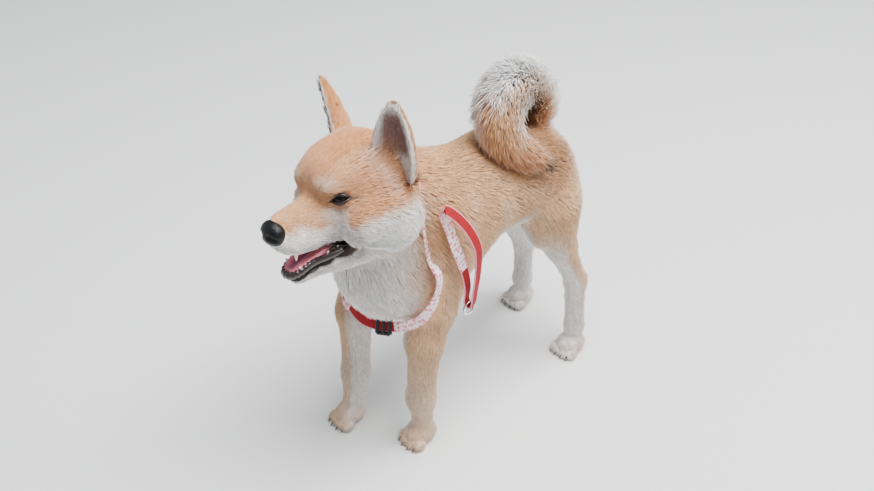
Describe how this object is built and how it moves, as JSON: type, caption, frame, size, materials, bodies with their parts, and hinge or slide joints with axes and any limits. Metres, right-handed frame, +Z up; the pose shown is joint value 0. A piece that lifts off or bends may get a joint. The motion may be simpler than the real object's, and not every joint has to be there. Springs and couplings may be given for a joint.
{
  "type": "shiba inu puppy",
  "caption": "Life-size still model of a standing shiba inu puppy with erect ears, open mouth and tongue, curled brush tail and a narrow webbing harness",
  "frame": {"origin": "middle of the underside of the whole box, on the floor between the paws", "axes": "+Z up, the dog faces -Y, its left side is at +X"},
  "size_m": [0.1438, 0.3858, 0.3847],
  "materials": {
    "coat": "short plush puppy coat, reddish tan with cream cheeks, chest and legs",
    "nose_leather": "black, finely pebbled, moist",
    "tongue_flesh": "pink, moist, finely grained",
    "eye_cornea": "very dark brown, wet gloss",
    "webbing": "red woven webbing with pale pink edges",
    "ribbon": null,
    "black_plastic": "moulded black plastic",
    "ring_steel": "bright plated wire",
    "claw_horn": "dark translucent horn",
    "tooth_enamel": "white enamel"
  },
  "bodies": {
    "root": {"head": "coat", "neck": "coat", "torso_front": "coat", "torso_rear": "coat", "lower_jaw": "coat", "ear_left": "coat", "ear_right": "coat", "tail_base": "coat", "tail_crest": "coat", "tail_tip": "coat", "foreleg_upper_left": "coat", "foreleg_lower_left": "coat", "forepaw_left": "coat", "hindleg_upper_left": "coat", "hindleg_lower_left": "coat", "hindpaw_left": "coat", "foreleg_upper_right": "coat", "foreleg_lower_right": "coat", "forepaw_right": "coat", "hindleg_upper_right": "coat", "hindleg_lower_right": "coat", "hindpaw_right": "coat", "nose": "nose_leather", "tongue": "tongue_flesh", "eye_left": "eye_cornea", "eye_right": "eye_cornea", "harness_loop": "webbing", "harness_tab": "webbing", "harness_keeper": "ribbon", "harness_slide": "black_plastic", "harness_ring": "ring_steel"}
  },
  "joints": []
}
